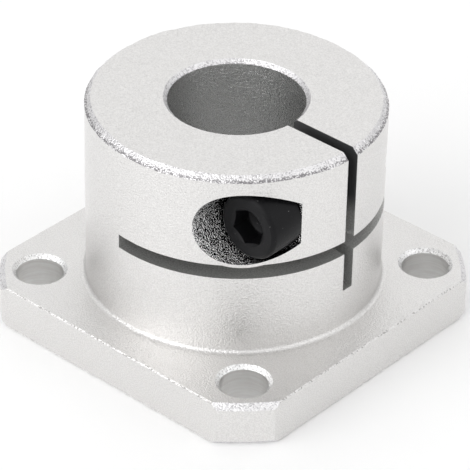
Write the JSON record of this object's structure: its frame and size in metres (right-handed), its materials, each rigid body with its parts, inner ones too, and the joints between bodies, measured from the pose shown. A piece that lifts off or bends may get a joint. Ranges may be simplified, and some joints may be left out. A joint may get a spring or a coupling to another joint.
{
  "type": "square flange shaft support",
  "caption": "Square flange with a split hub that clamps a shaft end, closed by a socket head cap screw across the slit.",
  "frame": {"origin": "on the bore's axis, on the underside of the flange", "axes": "+Z along the bore, from the flange to the hub's end; +X to the slit; the clamp screw lies along Y, its head towards -Y"},
  "size_m": [0.0544, 0.0544, 0.0365],
  "materials": {
    "blasted_aluminium": "fine bead-blasted, satin",
    "black_oxide_steel": "black oxide, oiled"
  },
  "bodies": {
    "flange_body": {"flange_body": "blasted_aluminium"},
    "clamp_screw": {"clamp_screw": "black_oxide_steel"}
  },
  "joints": [
    {"name": "clamp_screw_turn", "type": "hinge", "parent": "flange_body", "child": "clamp_screw", "pos_m": [0.0153, -0.0086, 0.0279], "axis": [0, -1, 0], "range_deg": [0, 3744]}
  ]
}
